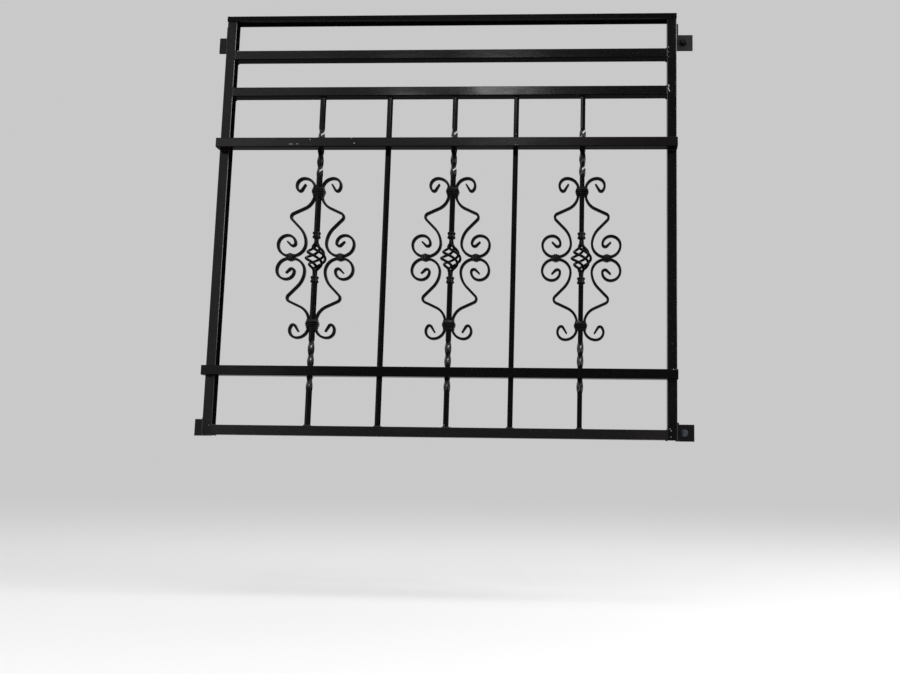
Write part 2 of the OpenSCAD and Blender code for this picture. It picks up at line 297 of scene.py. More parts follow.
let_go()
start = home + Vector((WAIST_X, 0, WAIST_Z))
bpy.ops.mesh.primitive_plane_add(size=1, location=start)
scroll = bpy.context.object
edit()
bpy.ops.transform.resize(value=(SCROLL_T, SCROLL_W, 1), center_override=start)
bpy.ops.mesh.bevel(offset=SCROLL_ROUND, segments=2, affect="VERTICES")
pick("faces")
at = run(start, 0, WAIST_RUN / 2)
roll_up(at, 0, CURL, CURL_TIP)
print("the curl has", len(CURL), "bends")

# %% [markdown]
# The lower end has to come in level at the side collar. The radii and headings of its four bends are given,
# so only two lengths are free: the straight arm before the elbow and the one after it. They are the two
# numbers that fill the gap which the bends alone leave.
# %% The arm, from the waist collar to the side collar
SIDE_X, SIDE_Z, SIDE_RUN = 66.5 * MM, 3.35 * MM, 8 * MM
ARM_TURN, ELBOW_TURN, HOLLOW_TURN = 115, 224, 184
ARM_R, ELBOW_R, HOLLOW_R, BOW_R = 43 * MM, 10.5 * MM, 61 * MM, 35 * MM


def is_section(face):
    """Whether a face is the bar's own section at the waist, where the curl began."""
    height = (scroll.matrix_world @ face.calc_center_median()).z
    return abs(height - start.z) < 0.01 * MM and len(face.verts) == 12


pick("faces", is_section)
at = run(start, 180, WAIST_RUN / 2)
arm_end = bend_end(at, 180, ARM_TURN, ARM_R)[1]
elbow = bend_end(Vector(), ARM_TURN, ELBOW_TURN, ELBOW_R)[1]
hollow = bend_end(Vector(), ELBOW_TURN, HOLLOW_TURN, HOLLOW_R)[1]
bow = bend_end(Vector(), HOLLOW_TURN, 90, BOW_R)[1]
goal = home + Vector((SIDE_X - SIDE_RUN / 2, 0, SIDE_Z))
gap = goal - arm_end - elbow - hollow - bow
a, b = to_front(ARM_TURN), to_front(ELBOW_TURN)
outwards = (gap.x * b.z - gap.z * b.x) / (a.x * b.z - a.z * b.x)
inwards = (a.x * gap.z - a.z * gap.x) / (a.x * b.z - a.z * b.x)
at = bend(at, 180, ARM_TURN, ARM_R)
at = run(at, ARM_TURN, outwards)
at = bend(at, ARM_TURN, ELBOW_TURN, ELBOW_R)
at = run(at, ELBOW_TURN, inwards)
at = bend(at, ELBOW_TURN, HOLLOW_TURN, HOLLOW_R)
at = bend(at, HOLLOW_TURN, 90, BOW_R)
print("the arm comes in %.2f mm from the side collar" % ((at - goal).length / MM))

# %% The outer ring
RING, RING_TIP = ((0, 31), (-90, 25), (-180, 21.5), (-315, 7)), 13.5 * MM
at = run(at, 90, SIDE_RUN)
roll_up(at, 90, RING, RING_TIP)
bpy.ops.mesh.select_all(action="SELECT")
bpy.ops.mesh.remove_doubles(threshold=0.02 * MM)
bpy.ops.mesh.normals_make_consistent(inside=False)
done()
settle(scroll)
print("one scroll bar has", len(scroll.data.polygons), "faces")

# %% [markdown]
# The second bar of a pair is the first one flipped about the baluster, and the lower pair is the upper one
# flipped about the middle of the basket.
# %% Scroll pairs on three balusters
pair_up = join([scroll, copy_of(scroll, flip=(-1, 1, 1), about=home)])
pair_down = copy_of(pair_up, flip=(1, 1, -1), about=home)
scroll_pieces = set_out(pair_up, "scrolls_up_bent", "scroll_paint", "scrolls_up")
scroll_pieces += set_out(pair_down, "scrolls_down_bent", "scroll_paint", "scrolls_down")
print(len(scroll_pieces), "pairs of scroll bars")

# %% [markdown]
# ## Twisted bars
# Above and below its ornament, a baluster is twisted once round. The bar starts as a cube a metre high, whose
# ends are moved to where the bar's ends are and whose upright edges are rounded. It gets one cut for every few
# millimetres of its twisted length, and the Simple Deform modifier twists it. The modifier turns about the
# object's own origin, so the bar is built with its origin in the middle of the twist. A full turn leaves both
# ends square to the frame.
# %% One twisted bar
BAR, MILL_ROUND = 12.7 * MM, 0.9 * MM
TWIST_FROM, TWIST_LEN, TWIST_CUTS = 220 * MM, 134 * MM, 56
bar_low, bar_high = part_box("middle_bar_top")
twist_middle = Vector((home.x, home.y, home.z + TWIST_FROM + TWIST_LEN / 2))
below, above = twist_middle.z - bar_low.z, bar_high.z - twist_middle.z


def is_upright(edge):
    return abs(edge.verts[0].co.z - edge.verts[1].co.z) > 10 * MM


def faces_up(face):
    return face.normal.z > 0.9


def faces_down(face):
    return face.normal.z < -0.9


let_go()
bpy.ops.mesh.primitive_cube_add(size=1, location=twist_middle)
twisted = bpy.context.object
edit()
bpy.ops.transform.resize(value=(BAR, BAR, 1), center_override=twist_middle)
pick("faces", faces_down)
bpy.ops.transform.translate(value=(0, 0, 0.5 - below))
pick("faces", faces_up)
bpy.ops.transform.translate(value=(0, 0, above - 0.5))
pick("edges", is_upright)
bpy.ops.mesh.bevel(offset=MILL_ROUND, segments=2, affect="EDGES")
for i in range(TWIST_CUTS + 1):
    bpy.ops.mesh.select_all(action="SELECT")
    bpy.ops.mesh.bisect(plane_co=twist_middle + Z * TWIST_LEN * (i / TWIST_CUTS - 0.5), plane_no=(0, 0, 1))
done()
twister = twisted.modifiers.new("twist", "SIMPLE_DEFORM")
twister.deform_method = "TWIST"
twister.deform_axis = "Z"
twister.angle = -2 * math.pi
twister.limits = ((below - TWIST_LEN / 2) / (below + above), (below + TWIST_LEN / 2) / (below + above))
apply_modifiers(twisted)
settle(twisted)
print("the twisted bar has", len(twisted.data.polygons), "faces")

# %% [markdown]
# The foot is the same bar turned over. The ornaments sit a little above the middle of their balusters, so the
# foot's plain end is made longer until it stands on the bottom rail.
# %% Twisted bars above and below each ornament
twisted_foot = copy_of(twisted, flip=(1, -1, -1), about=home)
hold(twisted_foot)
edit()
pick("faces", faces_down)
bpy.ops.transform.translate(value=(0, 0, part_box("middle_bar_foot")[0].z - (2 * home.z - bar_high.z)))
done()
bar_pieces = set_out(twisted, "bar_top_twisted", "bar_paint", "bar_top")
bar_pieces += set_out(twisted_foot, "bar_foot_twisted", "bar_paint", "bar_foot")
print(len(bar_pieces), "twisted bars")

# %% [markdown]
# ## Plain balusters
# Two balusters are plain square bar. A square bar is never quite sharp: the mill leaves a small round on
# each corner, and that round is what catches the light.
# %% Plain balusters
for side in ("left", "right"):
    name = "plain_baluster_" + side
    low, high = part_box(name)
    let_go()
    bpy.ops.mesh.primitive_cube_add(size=1, location=(low + high) / 2)
    plain = bpy.context.object
    edit()
    bpy.ops.transform.resize(value=high - low, center_override=(low + high) / 2)
    pick("edges", is_upright)
    bpy.ops.mesh.bevel(offset=MILL_ROUND, segments=2, affect="EDGES")
    done()
    bar_pieces.append(finish_piece(plain, name + "_rounded", "bar_paint", name))
print(len(bar_pieces), "bars in all")

# %% [markdown]
# ## Baskets
# A basket is four round wires that swell out and turn about the baluster's axis. A curve is the natural
# start for a wire: its points follow the swelling turn, and its bevel gives it its thickness. The curve is
# then made a mesh. The wires meet in a bundle above and below, and run into the knuckles.
# %% One basket
BASKET_D, BASKET_H, BASKET_TURNS, SWELL_POWER = 57 * MM, 78 * MM, 1.0, 1.4
WIRES, WIRE_D, WIRE_IN, WIRE_POINTS = 4, 7.2 * MM, 3 * MM, 72
STEM, SOCKET = 12 * MM, 8.3 * MM
wire_out = (BASKET_D - WIRE_D) / 2
wire_end = BASKET_H / 2 + STEM + SOCKET


def wire_point(z, start_turn):
    """The place of a wire at the height z above the basket's middle."""
    swell = max(0, math.cos(math.pi * z / BASKET_H)) ** SWELL_POWER if abs(z) < BASKET_H / 2 else 0
    radius = WIRE_IN + (wire_out - WIRE_IN) * swell
    angle = start_turn - 2 * math.pi * BASKET_TURNS * z / BASKET_H
    return home + Vector((radius * math.cos(angle), radius * math.sin(angle), z))


wires = []
for k in range(WIRES):
    let_go()
    bpy.ops.curve.primitive_nurbs_path_add(location=(0, 0, 0))
    wire = bpy.context.object
    wire.data.splines.clear()
    line = wire.data.splines.new("POLY")
    line.points.add(WIRE_POINTS)
    for i in range(WIRE_POINTS + 1):
        z = wire_end * (2 * i / WIRE_POINTS - 1)
        line.points[i].co = (*wire_point(z, 2 * math.pi * k / WIRES), 1)
    wire.data.bevel_depth = WIRE_D / 2
    wire.data.bevel_resolution = 2
    wire.data.use_fill_caps = True
    hold(wire)
    bpy.ops.object.convert(target="MESH")
    wires.append(bpy.context.object)
basket = join(wires)
print("one basket has", len(basket.data.polygons), "faces")
basket_pieces = set_out(basket, "basket_wires", "scroll_paint", "basket", smooth=ROUND_SMOOTH)

# %% [markdown]
# ## Knuckles
# A knuckle is a short turned ring with two squarish beads, one at each end of the basket. It is a shape for
# a lathe, so it is built as one: a round face is drawn out a little at a time, and each new ring is scaled
# to the radius that the profile has there. The same helper makes bolts and weld beads later.
# %% One knuckle
KNUCKLE, KNUCKLE_R, CORE_R = 18 * MM, 10.75 * MM, 9 * MM
BEAD_LEN, BEAD_ROUND, CORE_END = 5.1 * MM, 1.4 * MM, 1 * MM


def turned(base, way, profile, sides=32):
    """A turned shape: a round face drawn out along way, from ring to ring of (distance, radius)."""
    let_go()
    first, radius = profile[0]
    tilt = way.to_track_quat("Z", "Y").to_euler()
    bpy.ops.mesh.primitive_circle_add(vertices=sides, radius=radius, fill_type="NGON",
                                      location=base + way * first, rotation=tilt)
    shape = bpy.context.object
    edit()
    pick("faces")
    for (far_1, r_1), (far_2, r_2) in zip(profile, profile[1:]):
        bpy.ops.mesh.extrude_region_move(TRANSFORM_OT_translate={"value": way * (far_2 - far_1)})
        bpy.ops.transform.resize(value=[r_2 / r_1] * 3, center_override=base + way * far_2)
    bpy.ops.mesh.select_all(action="SELECT")
    bpy.ops.mesh.normals_make_consistent(inside=False)
    done()
    settle(shape)
    return shape


def round_corner(far, radius, size, turns):
    """Points of a rounded corner in a turned profile, about (far, radius), for angles given in degrees."""
    angles = [math.radians(t) for t in turns]
    return [(far + size * math.cos(angle), radius + size * math.sin(angle)) for angle in angles]


half = KNUCKLE / 2
corner_r = KNUCKLE_R - BEAD_ROUND
lower = [(-half, CORE_R * 0.92), (-half + CORE_END / 2, CORE_R), (-half + CORE_END * 0.9, CORE_R)]
lower += round_corner(-half + CORE_END + BEAD_ROUND, corner_r, BEAD_ROUND, (180, 150, 120, 90))
lower += round_corner(-half + CORE_END + BEAD_LEN - BEAD_ROUND, corner_r, BEAD_ROUND, (90, 60, 30, 0))
lower.append((-half + CORE_END * 1.3 + BEAD_LEN, CORE_R))
profile = lower + [(-far, radius) for far, radius in reversed(lower)]
knuckle = turned(home + Z * (BASKET_H / 2 + STEM + half), Z, profile)
print("a knuckle is %.1f mm across" % (knuckle.dimensions.x / MM))
knuckle = join([knuckle, copy_of(knuckle, flip=(1, 1, -1), about=home)])
knuckle_pieces = set_out(knuckle, "knuckles_turned", "collar_paint", "knuckles")

# %% [markdown]
# ## Collars
# A collar clasps bars that lie side by side: a short cast sleeve with ribs round its middle, three on the
# collars that hold the baluster and two on those that hold only scroll bars. It starts as a cube with its
# four long edges rounded. Cuts mark the ribs, and each band of faces is pushed out and drawn narrower, which
# gives the sloping flanks. The sleeve's ends are inset and pushed in, so that the bars go into it.
# %% One collar
SLEEVE, PLAY, SLEEVE_ROUND, MOUTH_WALL, MOUTH_SHARE = 0.9 * MM, 0.6 * MM, 1.4 * MM, 1 * MM, 0.88
RIB_OUT, RIB_STEP, RIB_W, RIB_FLAT, RIB_ROOT = 3.2 * MM, 1.1 * MM, 4.4 * MM, 1.8 * MM, 0.6 * MM
CAST_ROUND, CAST_ANGLE = 0.5 * MM, 28


def collar(bars_w, bars_d, length, ribs, centre, way):
    """A collar along way, round bars that are bars_w wide across it and bars_d deep."""
    axis = 2 if way == Z else 0
    w, d = bars_w + 2 * (PLAY + SLEEVE), bars_d + 2 * (PLAY + SLEEVE)
    let_go()
    bpy.ops.mesh.primitive_cube_add(size=1, location=centre)
    ring = bpy.context.object

    def shorten(share, about):
        bpy.ops.transform.resize(value=[share if i == axis else 1 for i in range(3)], center_override=about)

    edit()
    bpy.ops.transform.resize(value=(w, d, length) if axis == 2 else (length, d, w), center_override=centre)
    pick("edges", lambda e: abs(e.verts[0].co[axis] - e.verts[1].co[axis]) > length / 2)
    bpy.ops.mesh.bevel(offset=SLEEVE_ROUND, segments=3, affect="EDGES")
    pick("faces", lambda f: abs(f.normal[axis]) > 0.9)
    bpy.ops.mesh.inset(thickness=MOUTH_WALL)
    shorten(MOUTH_SHARE, centre)
    edges = [RIB_W * (i - ribs / 2) for i in range(ribs + 1)]
    for edge in edges:
        bpy.ops.mesh.select_all(action="SELECT")
        bpy.ops.mesh.bisect(plane_co=centre + way * edge, plane_no=way)

    def in_band(low, high):
        return lambda f: abs(f.normal[axis]) < 0.3 and low < f.calc_center_median()[axis] < high

    def push_out(far):
        settings = {"value": far, "use_even_offset": True}
        bpy.ops.mesh.extrude_region_shrink_fatten(TRANSFORM_OT_shrink_fatten=settings)

    pick("faces", in_band(edges[0], edges[-1]))
    push_out(RIB_ROOT)
    for i in range(ribs):
        pick("faces", in_band(edges[i], edges[i + 1]))
        push_out(RIB_OUT - RIB_ROOT if 2 * i == ribs - 1 else RIB_OUT - RIB_ROOT - RIB_STEP)
        shorten(RIB_FLAT / RIB_W, centre + way * (edges[i] + edges[i + 1]) / 2)
    done()
    soften = ring.modifiers.new("soften", "BEVEL")
    soften.width = CAST_ROUND
    soften.segments = 2
    soften.limit_method = "ANGLE"
    soften.angle_limit = math.radians(CAST_ANGLE)
    apply_modifiers(ring)
    settle(ring)
    return ring


WAIST_LEN, WAIST_RIBS, SIDE_LEN, SIDE_RIBS = 24 * MM, 3, 18 * MM, 2
waist = collar(2 * WAIST_X + SCROLL_T, BAR, WAIST_LEN, WAIST_RIBS, home + Z * WAIST_Z, Z)
clasp = collar(2 * SIDE_Z + SCROLL_T, SCROLL_W, SIDE_LEN, SIDE_RIBS, home + X * SIDE_X, X)
print("waist collar", [round(v / MM, 1) for v in waist.dimensions],
      "side collar", [round(v / MM, 1) for v in clasp.dimensions])

# %% [markdown]
# Each ornament has a waist collar above and below its basket, and a side collar to the left and right of it.
# %% Collars on each ornament
waists = join([waist, copy_of(waist, flip=(1, 1, -1), about=home)])
clasps = join([clasp, copy_of(clasp, flip=(-1, 1, 1), about=home)])
collar_pieces = set_out(waists, "waist_collars_cast", "collar_paint", "waist_collars")
collar_pieces += set_out(clasps, "side_collars_cast", "collar_paint", "side_collars")
print(len(collar_pieces), "pairs of collars")

# %% [markdown]
# ## Weld beads
# The frame is welded by hand, and every joint shows a small rippled fillet. A bead is drawn out along its
# joint in short steps, each a little fuller or thinner than the one before, as the welder's hand pauses and
# moves on. Only the quarter of it that stands out of the corner shows. The ripples come from a seeded dice,
# so that they are the same in every run.
# %% One bead
STITCH, END_OUT, END_SHARE, RIPPLE = 1.9 * MM, 0.2, 0.55, 0.1
dice = random.Random(11)


def bead(start, end, radius):
    """A rippled bead from start to end, along the root of a joint."""
    length = (end - start).length
    steps = max(4, round(length / STITCH))
    profile = [(-END_OUT * radius, END_SHARE * radius)]
    for i in range(steps + 1):
        fuller = (1 + RIPPLE if i % 2 else 1 - RIPPLE) * dice.uniform(0.9, 1.1)
        profile.append((length * i / steps, radius * fuller))
    profile.append((length + END_OUT * radius, END_SHARE * radius))
    return turned(start, (end - start).normalized(), profile, sides=10)


def ring_of_beads(low, high, fixed, radius):
    """Four beads round a square section that is fixed along one axis, from its low to its high corner."""
    one, two = [i for i in range(3) if i != fixed]
    corners = []
    for u, v in ((0, 0), (1, 0), (1, 1), (0, 1)):
        corner = low.copy()
        corner[one] = (low, high)[u][one]
        corner[two] = (low, high)[v][two]
        corners.append(corner)
    return [bead(corners[i], corners[(i + 1) % 4], radius) for i in range(4)]


print("beads are laid in steps of %.1f mm" % (STITCH / MM))

# %% [markdown]
# The rails butt against the posts, so each rail end gets a ring of four beads. One ring is laid and then
# copied to the other five ends, flipped for the right-hand post.
# %% Rail ends
RAILS = ("upper_rail", "middle_rail", "bottom_rail")
RAIL_BEAD, SINK = 2.3 * MM, 0.6 * MM
low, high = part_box("upper_rail")
middle_x = (low.x + high.x) / 2
sunk = Vector((SINK, SINK, SINK))
first = join(ring_of_beads(low + sunk, high - sunk, 0, RAIL_BEAD))
rings = []
for name in RAILS:
    shift = Z * (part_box(name)[0].z - low.z)
    rings.append(copy_of(first, shift=shift))
    rings.append(copy_of(first, shift=shift, flip=(-1, 1, 1), about=(middle_x, 0, 0)))
bpy.data.objects.remove(first)
weld_pieces = [finish_piece(join(rings), "rail_welds", "frame_paint", smooth=ROUND_SMOOTH)]
print("welds at", 2 * len(RAILS), "rail ends")

# %% [markdown]
# A baluster stands on the bottom rail and ends under the middle rail. Its welds are full: they make the bar's
# ends half as wide again as the bar. The bars also touch neither band, so lumps of weld bridge the few
# millimetres from each band's back to each bar.
# %% Baluster ends and tacks
BARS = ("plain_baluster_left", "plain_baluster_right", "left_bar_top", "middle_bar_top", "right_bar_top")
BANDS = ("upper_band", "lower_band")
BAR_BEAD, TACK, TACK_IN, TACK_BACK, TACK_BITE = 2.7 * MM, 3.2 * MM, 3 * MM, 1.5 * MM, 1 * MM
foot_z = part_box("bottom_rail")[1].z
head_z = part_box("middle_rail")[0].z
corner = Vector((BAR / 2, BAR / 2, 0))
first = join(ring_of_beads(home - corner, home + corner, 2, BAR_BEAD))
rings, lumps = [], []
for name in BARS:
    x = centre_of(name).x
    for z in (head_z, foot_z):
        rings.append(copy_of(first, shift=(x - home.x, 0, z - home.z)))
    for band in BANDS:
        low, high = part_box(band)
        for z in (low.z + TACK_IN, high.z - TACK_IN):
            back = Vector((x + dice.uniform(-2, 2) * MM, high.y - TACK_BACK, z))
            lumps.append(bead(back, Vector((back.x, home.y - BAR / 2 + TACK_BITE, z)), TACK))
bpy.data.objects.remove(first)
weld_pieces.append(finish_piece(join(rings), "baluster_welds", "bar_paint", smooth=ROUND_SMOOTH))
weld_pieces.append(finish_piece(join(lumps), "band_tacks", "bar_paint", smooth=ROUND_SMOOTH))
print(len(rings), "rings and", len(lumps), "tacks")

# %% [markdown]
# The bands lie against the fronts of the posts and are welded along their upper and lower edges. The
# brackets lap the outer sides of the posts and are welded all round the lap. One bracket's beads are laid
# and then flipped to the other three.
# %% Welds of the bands
BAND_BEAD, BAND_OUT, SHORT = 2.2 * MM, 0.4 * MM, 2 * MM
lines = []
for band in BANDS:
    low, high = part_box(band)
    for post in ("post_left", "post_right"):
        post_low, post_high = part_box(post)
        for z in (low.z, high.z):
            a = Vector((post_low.x + SHORT, high.y + BAND_OUT, z))
            lines.append(bead(a, Vector((post_high.x - SHORT, a.y, z)), BAND_BEAD))
weld_pieces.append(finish_piece(join(lines), "band_welds", "frame_paint", smooth=ROUND_SMOOTH))
print(len(lines), "beads hold the bands")

# %% Welds of the brackets
TAB_T, TAB_LAP = 5 * MM, 16 * MM
EDGE_BEAD, HEEL_BEAD, CROSS_BEAD = 1.6 * MM, 2.2 * MM, 2.4 * MM
HEEL_OUT, HEEL_IN = 0.2 * MM, 0.4 * MM
tab_low, tab_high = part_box("bracket_upper_left")
post_low, post_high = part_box("post_left")
root_x, lap_y = post_low.x, post_high.y - TAB_LAP
heel_x, heel_y = root_x - HEEL_OUT, post_high.y - HEEL_IN
lines = [bead(Vector((root_x, lap_y, tab_low.z)), Vector((root_x, lap_y, tab_high.z)), EDGE_BEAD),
         bead(Vector((heel_x, heel_y, tab_low.z)), Vector((heel_x, heel_y, tab_high.z)), HEEL_BEAD)]
for z in (tab_low.z, tab_high.z):
    lines.append(bead(Vector((root_x, lap_y, z)), Vector((root_x, post_high.y - SHORT, z)), CROSS_BEAD))
first = join(lines)
rings = []
lower_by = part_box("bracket_lower_left")[0].z - tab_low.z
for shift in (Vector(), Z * lower_by):
    rings.append(copy_of(first, shift=shift))
    rings.append(copy_of(first, shift=shift, flip=(-1, 1, 1), about=(middle_x, 0, 0)))
bpy.data.objects.remove(first)
weld_pieces.append(finish_piece(join(rings), "bracket_welds", "bracket_paint", smooth=ROUND_SMOOTH))
print(len(weld_pieces), "sets of welds")

# %% [markdown]
# Some welds were never painted, or lost their paint: a wavering bead where the middle rail meets the
# right-hand post, a few lumps at the other joints, and drops of spatter. A drop is a low turned dome. The
# places are x and z in metres, and a drop's third number is its radius in millimetres.
# %% Bare welds and spatter
FRONT, BAND_FRONT, BAR_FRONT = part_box("post_left")[0].y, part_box("upper_band")[0].y, home.y - BAR / 2
BAND_TOP, RIGHT_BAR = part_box("lower_band")[1].z, centre_of("plain_baluster_right").x
DOME = ((-0.5, 0.8), (0, 1), (0.35, 0.85), (0.6, 0.4))
WANDER = ((1.2345, 0.9178), (1.2382, 0.9160), (1.2366, 0.9090), (1.2372, 0.9040), (1.2402, 0.8985))
ON_POSTS = ((1.237, 1.023, 1.4), (1.2372, 1.0093, 1.0), (1.238, 0.9955, 0.8), (0.0726, 1.0197, 1.6),
            (1.2399, 0.0056, 1.3), (1.243, 0.0008, 1.2), (1.2424, -0.0143, 1.3), (0.0585, 0.002, 1.1))
ON_BANDS = ((1.2469, BAND_TOP - 0.8 * MM, 1.2), (1.2532, BAND_TOP - 0.9 * MM, 1), (0.8379, 0.7713, 0.9),
            (0.8355, 0.7424, 0.9), (0.8423, 0.7424, 0.7))
AT_FEET = ((0.666, 0.0096), (0.6816, 0.0046), (RIGHT_BAR - 8 * MM, 0.0056), (RIGHT_BAR + 9 * MM, 0.0046))
WANDER_BEAD, FOOT_DROP = 1.1 * MM, 1.6
TWIST_BEAD, BEAD_FOOT, BEAD_HEAD = 1.3 * MM, 0.7735, 0.776


def drop(x, y, z, radius, way=-Y):
    radius *= MM
    return turned(Vector((x, y, z)), way, [(far * radius, share * radius) for far, share in DOME], sides=9)


bare = []
for a, b in zip(WANDER, WANDER[1:]):
    bare.append(bead(Vector((a[0], FRONT, a[1])), Vector((b[0], FRONT, b[1])), WANDER_BEAD))
for x, z, radius in ON_POSTS:
    bare.append(drop(x, FRONT, z, radius))
for x, z, radius in ON_BANDS:
    bare.append(drop(x, BAND_FRONT, z, radius))
for side in SIDES:
    x = hub[side].x
    start = Vector((x - 6 * MM, FRONT + 1 * MM, BEAD_FOOT))
    end = Vector((x - 2 * MM, FRONT - 1 * MM, BEAD_HEAD))
    bare.append(bead(start, end, TWIST_BEAD))
for x, z in AT_FEET:
    bare.append(drop(x, BAR_FRONT, z, FOOT_DROP, Z))
bare_pieces = [finish_piece(join(bare), "bare_welds", "frame_paint", smooth=ROUND_SMOOTH)]
print(len(bare), "beads and drops without paint")

# %% [markdown]
# ## Bolts
# One bolt goes through each bracket: a washer, a hexagon head, and a shank that ends at the bracket's back.
# The hexagon is a turned shape of six sides. A round crown inside it stands a little proud, as the turned top
# of a real head does. Profiles are in millimetres, from the bracket's front.
# %% Bolts
HOLE_OUT = 24 * MM
WASHER = ((-0.1, 9.8), (1.5, 10), (1.9, 9.6), (2, 7))
HEXAGON = ((1.5, 8.4), (6.6, 8.4), (7.9, 7), (8, 4))
CROWN = ((1.5, 7.4), (7.4, 7.6), (8.3, 6.6), (8.5, 3))
SHANK = ((-2, 4.9), (4.9, 4.9))


def in_mm(profile):
    return [(far * MM, radius * MM) for far, radius in profile]


bolt_pieces = []
for name in ("bracket_upper_left", "bracket_upper_right", "bracket_lower_left", "bracket_lower_right"):
    low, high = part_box(name)
    x = post_low.x - HOLE_OUT if "left" in name else 2 * middle_x - post_low.x + HOLE_OUT
    face = Vector((x, high.y - TAB_T, (low.z + high.z) / 2))
    parts = [turned(face, -Y, in_mm(WASHER)), turned(face, -Y, in_mm(HEXAGON), sides=6),
             turned(face, -Y, in_mm(CROWN)), turned(face, Y, in_mm(SHANK))]
    bolt_pieces.append(finish_piece(join(parts), name.replace("bracket", "bolt"), "bracket_paint"))
print(len(bolt_pieces), "bolts")

# %% [markdown]
# ## Black paint
# The guard is painted black by hand. Close to, it isn't plain black: the coat has a fine skin like orange
# peel, it is thinner and browner in places, grit sits in it, and dust lies on what faces up. The paint is
# given a mirror share that shines on the fronts and hardly at all on undersides and in corners, which is
# painted shade. All of that comes from the surface's own direction and from noise on object coordinates, so
# it stays on the steel from every side.
# %% Nodes for a paint
DUST = (0.06, 0.056, 0.05, 1)
GRIT = (0.1, 0.1, 0.098, 1)
BARE = (0.3, 0.29, 0.28, 1)
SCUFF_DEPTH = 3 * MM


def add(tree, kind, **settings):
    made = tree.nodes.new(kind)
    for key, value in settings.items():
        if key in made.inputs:
            made.inputs[key].default_value = value
        else:
            setattr(made, key, value)
    return made


def join_up(tree, *pairs):
    for out, into in pairs:
        tree.links.new(out, into)


def noise(tree, place, scale, detail=3, roughness=0.55, stretch=(1, 1, 1)):
    """Noise on object coordinates, drawn out where stretch is under 1."""
    mapping = add(tree, "ShaderNodeMapping", Scale=stretch)
    cloud = add(tree, "ShaderNodeTexNoise", Scale=scale, Detail=detail, Roughness=roughness)
    join_up(tree, (place.outputs["Object"], mapping.inputs["Vector"]),
            (mapping.outputs["Vector"], cloud.inputs["Vector"]))
    return cloud.outputs["Fac"]


def share(tree, value, low, high, to_low=0.0, to_high=1.0):
    """Maps a value from one range to another, and holds it there."""
    fit = add(tree, "ShaderNodeMapRange")
    for key, number in (("From Min", low), ("From Max", high), ("To Min", to_low), ("To Max", to_high)):
        fit.inputs[key].default_value = number
    tree.links.new(value, fit.inputs["Value"])
    return fit.outputs["Result"]


def combine(tree, operation, a, b):
    both = add(tree, "ShaderNodeMath", operation=operation)
    for value, into in ((a, both.inputs[0]), (b, both.inputs[1])):
        if isinstance(value, (int, float)):
            into.default_value = value
        else:
            tree.links.new(value, into)
    return both.outputs[0]


def blend(tree, fac, a, b):
    """Mixes two colours, each a plain colour or another mix."""
    mix = add(tree, "ShaderNodeMix", data_type="RGBA")
    tree.links.new(fac, mix.inputs["Factor"])
    for value, into in ((a, mix.inputs[6]), (b, mix.inputs[7])):
        if isinstance(value, tuple):
            into.default_value = value
        else:
            tree.links.new(value, into)
    return mix.outputs[2]


def scuff(tree, place, x, z, long, high):
    """A ragged bare patch about (x, z) on a band's front, long and high in millimetres, as a factor."""
    reach = (long * MM, SCUFF_DEPTH, high * MM)
    middle = (x, BAND_FRONT, z)
    about = add(tree, "ShaderNodeMapping", Scale=[1 / r for r in reach],
                Location=[-m / r for m, r in zip(middle, reach)])
    far = add(tree, "ShaderNodeVectorMath", operation="LENGTH")
    join_up(tree, (place.outputs["Object"], about.inputs["Vector"]), (about.outputs["Vector"], far.inputs[0]))
    rough = share(tree, noise(tree, place, 500, 3), 0.3, 0.7, -0.45, 0.45)
    return share(tree, combine(tree, "ADD", far.outputs["Value"], rough), 1.05, 0.9)


print("the nodes are ready")

# %% [markdown]
# One function mixes a coat. Black and thin are the colours of a full and of a thin coat, and gloss is its
# roughness. Shine is the share of mirror light on what faces sideways, and under is its share on what faces
# down. Crest, where it is given, is its share on what faces up. Where it is given, a lighter colour on what
# faces down is painted light from below.
# Flank, where it is given, is the share on what faces right, kept low as painted shade, and edge then the
# share on upright round corners, raised as a painted highlight. These shares by facing, under and crest among
# them, are painted shade and highlights. Peel and lumps are the strengths of the fine and the coarse bumps.
# %% Mixing a paint
SPECKS, SKIN_DEPTH, RELIEF_DEPTH = 0.4, 0.4 * MM, 1 * MM


